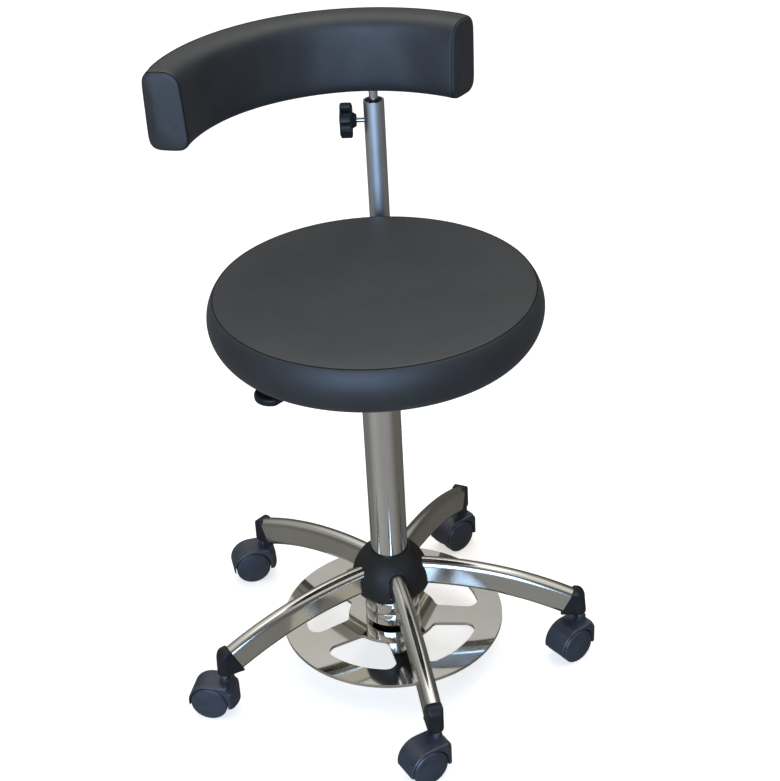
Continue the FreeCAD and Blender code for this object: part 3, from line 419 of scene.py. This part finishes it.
def make_black_plastic():
    finish = Finish("black_plastic")
    finish.colour(finish.noise(50.0, 3.0), [(0.3, (0.010, 0.011, 0.013)), (0.7, (0.017, 0.018, 0.021))])
    finish.roughness(finish.noise(110.0, 3.0), 0.36, 0.46)
    finish.bump(finish.noise(1400.0, 2.0), 0.10, 0.05 * MM)
    finish.set(Specular_IOR_Level=0.32)
    return finish.material


def make_castor_plastic():
    finish = Finish("castor_plastic")
    # Partly painted sheen: the plastic's own dark grey is tinted bluish and lightened, painting in the
    # bluish sheen of the front light.
    finish.colour(finish.noise(60.0, 3.0), [(0.3, (0.023, 0.028, 0.041)), (0.7, (0.038, 0.046, 0.066))])
    finish.roughness(finish.noise(140.0, 3.0), 0.32, 0.42)
    finish.set(Specular_IOR_Level=0.75)
    finish.bump(finish.cells(1500.0), 0.16, 0.06 * MM)
    return finish.material


def make_soft_cover():
    finish = Finish("soft_cover")
    shades = [(0.3, (0.013, 0.0115, 0.0095)), (0.7, (0.022, 0.0195, 0.016))]
    finish.colour(finish.noise(25.0, 4.0), shades)
    finish.roughness(finish.noise(80.0, 3.0), 0.48, 0.60)
    finish.set(Specular_IOR_Level=0.35)
    finish.bump(finish.noise(900.0, 3.0), 0.14, 0.08 * MM)
    return finish.material


def make_plywood():
    finish = Finish("plywood")
    plies = finish.waves(140.0, "Z", 0.6)
    figure = finish.noise(1.0, 6.0, finish.mapped((90.0, 9.0, 30.0)))
    shades = [(0.25, (0.018, 0.016, 0.014)), (0.75, (0.042, 0.038, 0.034))]
    finish.colour(finish.mixed(plies, figure, 0.7), shades)
    finish.roughness(figure, 0.55, 0.75)
    finish.bump(figure, 0.15, 0.2 * MM)
    return finish.material


# Painted shade: the seam cords get a colour darker and duller than the vinyl, painting the shade of the
# sewn groove.
def make_seam_groove_shade():
    finish = Finish("seam_groove_shade")
    shades = [(0.3, (0.006, 0.0065, 0.007)), (0.7, (0.012, 0.0125, 0.013))]
    finish.colour(finish.noise(200.0, 2.0), shades)
    finish.roughness(finish.noise(300.0, 2.0), 0.7, 0.85)
    finish.set(Specular_IOR_Level=0.1)
    return finish.material


def make_thread():
    finish = Finish("thread")
    finish.colour(finish.noise(500.0, 2.0), [(0.3, (0.045, 0.048, 0.055)), (0.7, (0.090, 0.095, 0.105))])
    finish.roughness(finish.noise(900.0, 2.0), 0.45, 0.6)
    finish.bump(finish.waves(2600.0, "DIAGONAL", 0.5), 0.3, 0.1 * MM)
    return finish.material


vinyl = make_vinyl()
seam_groove_shade = make_seam_groove_shade()
thread = make_thread()
node_finishes = {
    "post_tube": make_satin_chrome(),
    "stand_tube": make_chrome("column_chrome", 0.09, 0.15),
    # Painted reflection: the ring's chrome colour is darker and warmer than plain chrome, painting in
    # the brownish room it reflects.
    "foot_ring": make_chrome("ring_chrome", dark=(0.62, 0.60, 0.555), light=(0.70, 0.68, 0.635)),
}
# Painted reflection: the arms' chrome colour is darker and warmer than plain chrome, painting in the
# taupe room they reflect.
arm_chrome = make_chrome("arm_chrome", 0.12, 0.19, dark=(0.62, 0.61, 0.575), light=(0.70, 0.69, 0.655))
for number in range(1, ARM_COUNT + 1):
    node_finishes[f"base_arm_{number}"] = arm_chrome
finishes = {
    "chrome": make_chrome(),
    "bright_steel": make_bright_steel(),
    "zinc_steel": make_zinc_steel(),
    "black_paint": make_black_paint(),
    "black_plastic": make_black_plastic(),
    "castor_plastic": make_castor_plastic(),
    "soft_cover": make_soft_cover(),
    "plywood": make_plywood(),
    "vinyl": vinyl,
}


def finish_cad_nodes():
    """Give each node its slot's finish, or its own where it has one."""
    slots = {part["node"]: part["material_slot"] for part in frame["record"]["subparts"]}
    for node, piece in frame["nodes"].items():
        piece.data.materials.clear()
        piece.data.materials.append(finishes[slots[node]])
    for node, material in node_finishes.items():
        frame["nodes"][node].data.materials[0] = material


# Sewn covers


def shown_piece(name, mesh, material):
    """A smooth piece with this mesh and finish, in the scene."""
    for face in mesh.polygons:
        face.use_smooth = True
    mesh.materials.clear()
    mesh.materials.append(material)
    piece = bpy.data.objects.new(name, mesh)
    scene.collection.objects.link(piece)
    return piece


def new_piece(name, builder, material):
    """A piece made from a bmesh, with merged doubles and outward faces."""
    bmesh.ops.remove_doubles(builder, verts=builder.verts, dist=MERGE_REACH)
    bmesh.ops.recalc_face_normals(builder, faces=builder.faces)
    mesh = bpy.data.meshes.new(name)
    builder.to_mesh(mesh)
    builder.free()
    return shown_piece(name, mesh, material)


def arc_points(start, end, rise, count):
    """Points after start, up to end, along an arc that rises to the right of the way."""
    start = Vector(start)
    end = Vector(end)
    along = end - start
    half = along.length / 2
    radius = (half * half + rise * rise) / (2 * rise)
    right = Vector((along.y, -along.x)).normalized()
    centre = (start + end) / 2 + right * (rise - radius)
    turn = 2 * math.asin(half / radius)
    spoke = start - centre
    points = []
    for index in range(1, count + 1):
        angle = turn * index / count
        turned = Matrix.Rotation(angle, 2) @ spoke
        points.append(tuple(centre + turned))
    return points


def inflate(piece, sewn, cap):
    """Swell the cover like foam under vinyl, held where it is sewn, no point moving more than cap."""
    group = piece.vertex_groups.new(name="sewn")
    group.add(sewn, 1.0, "REPLACE")
    cloth = piece.modifiers.new("inflate", "CLOTH")
    settings = cloth.settings
    settings.vertex_group_mass = "sewn"
    settings.use_pressure = True
    settings.uniform_pressure_force = COVER_PRESSURE
    settings.effector_weights.gravity = 0
    settings.bending_stiffness = COVER_BENDING
    cloth.point_cache.frame_start = 1
    cloth.point_cache.frame_end = SWELLING_FRAMES
    for step in range(1, SWELLING_FRAMES + 1):
        scene.frame_set(step)
    swollen = piece.evaluated_get(bpy.context.evaluated_depsgraph_get())
    ends = [vertex.co.copy() for vertex in swollen.data.vertices]
    piece.modifiers.remove(cloth)
    piece.vertex_groups.remove(group)
    for vertex, end in zip(piece.data.vertices, ends):
        move = end - vertex.co
        if move.length > cap:
            move *= cap / move.length
        vertex.co += move
    scene.frame_set(1)


def relaxed(piece, kept, rounds):
    """Even out the ripples that the swelling leaves, away from the kept points."""
    builder = bmesh.new()
    builder.from_mesh(piece.data)
    loose = [vertex for vertex in builder.verts if vertex.index not in kept]
    for _ in range(rounds):
        bmesh.ops.smooth_vert(
            builder,
            verts=loose,
            factor=0.5,
            use_axis_x=True,
            use_axis_y=True,
            use_axis_z=True,
        )
    builder.to_mesh(piece.data)
    builder.free()


def nearest_points(piece, places):
    """The numbers of the piece's points at these places."""
    tree = kdtree.KDTree(len(piece.data.vertices))
    for vertex in piece.data.vertices:
        tree.insert(vertex.co, vertex.index)
    tree.balance()
    return [tree.find(place)[1] for place in places]


def apply_modifiers(piece):
    """Replace the piece's mesh by the one its modifiers give."""
    shaped = bpy.data.meshes.new_from_object(piece.evaluated_get(bpy.context.evaluated_depsgraph_get()))
    piece.modifiers.clear()
    piece.data = shaped


def subdivided(piece, levels):
    """Replace the piece's mesh by its subdivided one."""
    modifier = piece.modifiers.new("round", "SUBSURF")
    modifier.levels = levels
    modifier.render_levels = levels
    apply_modifiers(piece)


def seam_cord(name, points, closed, body):
    """A thin rolled edge of vinyl along a seam, in a darker, duller finish that paints the shade of the
    seam's groove.
    """
    curve = bpy.data.curves.new(name, "CURVE")
    curve.dimensions = "3D"
    curve.bevel_depth = SEAM_CORD_RADIUS
    curve.bevel_resolution = 2
    curve.resolution_u = 4
    spline = curve.splines.new("NURBS")
    spline.points.add(len(points) - 1)
    for control, point in zip(spline.points, points):
        control.co = (*point, 1.0)
    spline.order_u = 3
    spline.use_cyclic_u = closed
    spline.use_endpoint_u = not closed
    shape = bpy.data.objects.new(name + "_line", curve)
    scene.collection.objects.link(shape)
    mesh = bpy.data.meshes.new_from_object(shape.evaluated_get(bpy.context.evaluated_depsgraph_get()))
    bpy.data.objects.remove(shape)
    piece = shown_piece(name, mesh, seam_groove_shade)
    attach(piece, body)


def stitch_ring(name, points, body):
    """A row of sewn stitches along a closed line of points."""
    builder = bmesh.new()
    way = points + points[:1]
    spare = STITCH_PITCH / 2
    for start, end in zip(way, way[1:]):
        step = end - start
        turn = step.to_track_quat("X", "Z").to_matrix().to_4x4()
        while spare < step.length:
            place = Matrix.Translation(start + step.normalized() * spare)
            shape = Matrix.Diagonal((STITCH_LENGTH / 2, STITCH_RADIUS, STITCH_RADIUS, 1.0))
            bmesh.ops.create_icosphere(builder, subdivisions=1, radius=1.0, matrix=place @ turn @ shape)
            spare += STITCH_PITCH
        spare -= step.length
    mesh = bpy.data.meshes.new(name)
    builder.to_mesh(mesh)
    builder.free()
    piece = shown_piece(name, mesh, thread)
    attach(piece, body)


def seat_outline():
    """Half section of the seat cover, from the inside of its hollow round the outside to the top."""
    ceiling = board_high[2] + COVER_GAP
    hollow = board_radius + COVER_GAP
    under = seat_low[2] - COVER_GAP
    fold = under - COVER_FOLD
    lip = board_radius - COVER_LIP
    seam = (SEAT_SEAM_RADIUS - SEAM_GROOVE, SEAT_SEAM_LEVEL)
    below = (SEAT_SEAM_RADIUS + SEAT_SIDE_EDGE, SEAT_SEAM_LEVEL - SEAM_HALF_WIDTH)
    above = (SEAT_SEAM_RADIUS - SEAM_HALF_WIDTH, SEAT_SEAM_LEVEL + SEAM_HALF_WIDTH / 2)
    shoulder = (SEAT_SEAM_RADIUS - SEAT_SHOULDER, seat_high[2] - SEAT_SHOULDER_DROP)
    top = (SEAT_FLAT_RADIUS, seat_high[2] - SEAT_CROWN_DROP)
    foot = (SEAT_BOTTOM_RADIUS, seat_low[2])
    outline = [
        (SEAT_FLAT_RADIUS, ceiling),
        (hollow / 2, ceiling),
        (hollow, ceiling),
        (hollow, under),
        (lip, under),
        (lip, fold),
        (SEAT_BOTTOM_RADIUS - SEAT_FOLD_INSET, fold),
        foot,
    ]
    outline += arc_points(foot, below, SEAT_SIDE_BULGE, 7)
    outline += [seam, above]
    outline += arc_points(above, shoulder, SEAT_SHOULDER_RISE, 2)
    outline += arc_points(shoulder, top, SEAT_CROWN_RISE, 20)
    return outline


def make_seat_cover():
    builder = bmesh.new()
    corners = [builder.verts.new((radius, 0, level)) for radius, level in seat_outline()]
    edges = [builder.edges.new(pair) for pair in zip(corners, corners[1:])]
    bmesh.ops.spin(
        builder,
        geom=corners + edges,
        cent=(0, 0, 0),
        axis=(0, 0, 1),
        angle=2 * math.pi,
        steps=SEAT_STEPS,
        use_merge=True,
    )
    bmesh.ops.holes_fill(builder, edges=builder.edges, sides=0)
    cover = new_piece("seat_cover", builder, vinyl)
    seam_radius = SEAT_SEAM_RADIUS - SEAM_GROOVE
    on_seam = []
    sewn = []
    for vertex in cover.data.vertices:
        radius = math.hypot(vertex.co.x, vertex.co.y)
        above_seam = vertex.co.z - SEAT_SEAM_LEVEL
        at_seam = abs(radius - seam_radius) < SEAM_REACH and abs(above_seam) < SEAM_REACH
        on_board = vertex.co.z < board_high[2] + 2 * COVER_GAP and radius < SEAT_BOTTOM_RADIUS + 2 * MM
        if at_seam:
            on_seam.append(vertex.index)
        if at_seam or on_board:
            sewn.append(vertex.index)
    inflate(cover, sewn, SEAT_SWELLING)
    side = []
    for vertex in cover.data.vertices:
        if math.hypot(vertex.co.x, vertex.co.y) > seam_radius - SEAM_KEPT:
            side.append(vertex.index)
    relaxed(cover, set(sewn + side), SEAT_SMOOTHING)
    subdivided(cover, 2)
    line = [cover.data.vertices[index].co.copy() for index in on_seam]
    line.sort(key=lambda point: math.atan2(point.y, point.x))
    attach(cover, "seat")
    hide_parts("seat_cushion")
    outward = []
    dropped = []
    for point in line:
        way = Vector((point.x, point.y, 0)).normalized()
        outward.append(point + way * SEAM_CORD_OUT)
        dropped.append(point + way * STITCH_OUT + Vector((0, 0, -STITCH_DOWN)))
    seam_cord("seat_seam", outward, True, "seat")
    stitch_ring("seat_stitches", dropped, "seat")


def pad_centre():
    away = Vector((math.sin(PAD_TURN), -math.cos(PAD_TURN), 0)) * PAD_ARC_RADIUS
    return Vector((0, post_y, 0)) + away


def pad_spoke(angle):
    """The direction from the pad's arc centre at this angle past the post, towards its left end."""
    turn = math.pi / 2 + PAD_TURN + angle
    return Vector((math.cos(turn), math.sin(turn), 0))


def pad_section(builder):
    """The pad's section at its right end: a softened upright block, wider at the bottom."""
    low = pad_low[2] + PAD_SHRINK
    high = pad_high[2] - PAD_SHRINK
    inner = PAD_ARC_RADIUS - PAD_INNER_DEPTH + PAD_SHRINK
    outer = PAD_ARC_RADIUS + PAD_OUTER_DEPTH - PAD_SHRINK
    corners = []
    for radius, level in ((inner, low), (outer, low), (outer, high), (inner + PAD_TOP_TAPER, high)):
        point = pad_centre() + pad_spoke(-PAD_RIGHT_ANGLE) * radius
        corners.append(builder.verts.new((point.x, point.y, level)))
    builder.faces.new(corners)
    for some, offset, segments in ((corners[:3], PAD_CORNER, 4), (corners[3:], PAD_SOFT_CORNER, 6)):
        bmesh.ops.bevel(
            builder,
            geom=some,
            offset=offset,
            affect="VERTICES",
            segments=segments,
            profile=0.5,
            material=-1,
        )
    bmesh.ops.delete(builder, geom=builder.faces[:], context="FACES_ONLY")
    long_edges = [edge for edge in builder.edges if edge.calc_length() > PAD_CORNER]
    tall = [edge for edge in long_edges if abs(edge.verts[0].co.z - edge.verts[1].co.z) > PAD_CORNER]
    flat = [edge for edge in long_edges if edge not in tall]
    bmesh.ops.subdivide_edges(builder, edges=tall, cuts=7)
    bmesh.ops.subdivide_edges(builder, edges=flat, cuts=3)


def draw_in(builder, rim):
    """Draw the rim of the pad's end in towards its middle."""
    middle = sum((vertex.co for vertex in rim), Vector()) / len(rim)
    shares = (PAD_END_SHARE, PAD_END_SHARE, PAD_END_SHARE)
    bmesh.ops.scale(builder, vec=shares, space=Matrix.Translation(-middle), verts=rim)
    return middle


def add_end_panel(builder, rim, outward):
    """Close the pad's end with a panel that swells outward from its sewn rim."""
    middle = draw_in(builder, rim)
    rim_set = set(rim)
    edges = [edge for edge in builder.edges if edge.is_boundary and rim_set.issuperset(edge.verts)]
    share_now = 1.0
    swell_now = 0.0
    for share, swell in PAD_PANEL_LOOPS:
        grown = bmesh.ops.extrude_edge_only(builder, edges=edges)["geom"]
        points = [part for part in grown if isinstance(part, bmesh.types.BMVert)]
        edges = [part for part in grown if isinstance(part, bmesh.types.BMEdge)]
        step = share / share_now
        at = middle + outward * swell_now
        bmesh.ops.scale(builder, vec=(step, step, step), space=Matrix.Translation(-at), verts=points)
        bmesh.ops.translate(builder, vec=outward * (swell - swell_now), verts=points)
        share_now = share
        swell_now = swell
    bmesh.ops.holes_fill(builder, edges=edges, sides=0)


def along_pad(section, radius, level):
    """The place of the section's point nearest this radius and level, at each step along the pad."""
    centre = pad_centre()

    def distance(point):
        spoke = math.hypot(point.x - centre.x, point.y - centre.y)
        return math.hypot(spoke - radius, point.z - level)

    start = min(section, key=distance)
    places = []
    for step in range(PAD_STEPS + 1):
        turn = Matrix.Rotation((PAD_RIGHT_ANGLE + PAD_LEFT_ANGLE) * step / PAD_STEPS, 3, "Z")
        places.append(centre + turn @ (start - centre))
    return places


def make_back_cover():
    builder = bmesh.new()
    pad_section(builder)
    first_points = builder.verts[:]
    section = [vertex.co.copy() for vertex in first_points]
    swept = bmesh.ops.spin(
        builder,
        geom=first_points + builder.edges[:],
        cent=pad_centre(),
        axis=(0, 0, 1),
        angle=PAD_RIGHT_ANGLE + PAD_LEFT_ANGLE,
        steps=PAD_STEPS,
    )
    last_points = [part for part in swept["geom_last"] if isinstance(part, bmesh.types.BMVert)]
    right_way = Matrix.Rotation(-math.pi / 2, 3, "Z") @ pad_spoke(-PAD_RIGHT_ANGLE)
    left_way = Matrix.Rotation(math.pi / 2, 3, "Z") @ pad_spoke(PAD_LEFT_ANGLE)
    add_end_panel(builder, first_points, right_way)
    add_end_panel(builder, last_points, left_way)
    section_ends = [vertex.co.copy() for vertex in first_points]
    last = [vertex.co.copy() for vertex in last_points]
    cover = new_piece("back_cover", builder, vinyl)
    lines = {
        "right": nearest_points(cover, section_ends),
        "left": nearest_points(cover, last),
        "top": nearest_points(cover, along_pad(section, PAD_SEAM_RADIUS, pad_high[2])),
    }
    sewn = nearest_points(cover, along_pad(section, PAD_ARC_RADIUS, pad_low[2]))
    for indices in lines.values():
        sewn += indices
    inflate(cover, sewn, PAD_SWELLING)
    relaxed(cover, set(sewn), PAD_SMOOTHING)
    subdivided(cover, 2)
    points = {}
    for name, indices in lines.items():
        points[name] = [cover.data.vertices[index].co.copy() for index in indices]
    cut_socket_hole(cover)
    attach(cover, "back_rest")
    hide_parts("back_pad")
    sew_back_cover(points)


def cut_socket_hole(cover):
    """Open the cover's underside round the steel socket."""
    builder = bmesh.new()
    radius = (socket_high[0] - socket_low[0]) / 2 + SOCKET_HOLE_GAP
    height = socket_high[2] - socket_low[2] + 2 * SOCKET_HOLE_GAP
    middle = (socket_low[2] + socket_high[2] - SOCKET_HOLE_BELOW) / 2
    bmesh.ops.create_cone(
        builder,
        cap_ends=True,
        segments=48,
        radius1=radius,
        radius2=radius,
        depth=height + SOCKET_HOLE_BELOW,
        matrix=Matrix.Translation((0, post_y, middle)),
    )
    cutter = new_piece("socket_cutter", builder, vinyl)
    modifier = cover.modifiers.new("hole", "BOOLEAN")
    modifier.operation = "DIFFERENCE"
    modifier.object = cutter
    apply_modifiers(cover)
    bpy.data.objects.remove(cutter)


def sew_back_cover(points):
    """Lay the rolled seams along the pad's top and round its two ends."""
    centre = pad_centre()
    top = sorted(points["top"], key=lambda point: math.atan2(point.y - centre.y, point.x - centre.x))
    lifted = [point + Vector((0, 0, PAD_SEAM_LIFT)) for point in top]
    seam_cord("back_top_seam", lifted, False, "back_rest")
    for name in ("right", "left"):
        rim = points[name]
        middle = sum(rim, Vector()) / len(rim)
        radial = Vector((middle.x - centre.x, middle.y - centre.y, 0)).normalized()
        rim = sorted(rim, key=lambda point: math.atan2(point.z - middle.z, (point - middle).dot(radial)))
        seam_cord(f"back_{name}_seam", rim, True, "back_rest")


# Moulded and turned pieces with rounded edges


def copy_of(node, name):
    """A new piece with the node's shape and finish."""
    builder = bmesh.new()
    builder.from_mesh(frame["nodes"][node].data)
    return new_piece(name, builder, frame["nodes"][node].data.materials[0])


def make_rounded_caps():
    """The arms' end caps with their moulded edges rounded over."""
    for number in range(1, ARM_COUNT + 1):
        cap = copy_of(f"arm_cap_{number}", f"rounded_cap_{number}")
        even = cap.modifiers.new("even", "REMESH")
        even.mode = "VOXEL"
        even.voxel_size = CAP_VOXEL
        even.use_smooth_shade = True
        rounding = cap.modifiers.new("round", "SMOOTH")
        rounding.factor = 0.5
        rounding.iterations = CAP_SMOOTHING
        apply_modifiers(cap)
        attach(cap, "base")
        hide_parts(f"arm_cap_{number}")


def make_softened_collars():
    """The turned collars under the hub with their sharp rims broken."""
    for node in COLLARS:
        collar = copy_of(node, f"softened_{node}")
        edge = collar.modifiers.new("edge", "BEVEL")
        edge.width = COLLAR_EDGE
        edge.segments = COLLAR_EDGE_STEPS
        edge.limit_method = "ANGLE"
        edge.angle_limit = COLLAR_SHARP_ANGLE
        edge.harden_normals = True
        apply_modifiers(collar)
        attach(collar, "base")
        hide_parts(node)


place_camera()
light_the_room()
lay_floor()
finish_cad_nodes()
make_seat_cover()
make_back_cover()
make_rounded_caps()
make_softened_collars()
scene.view_settings.view_transform = "Standard"
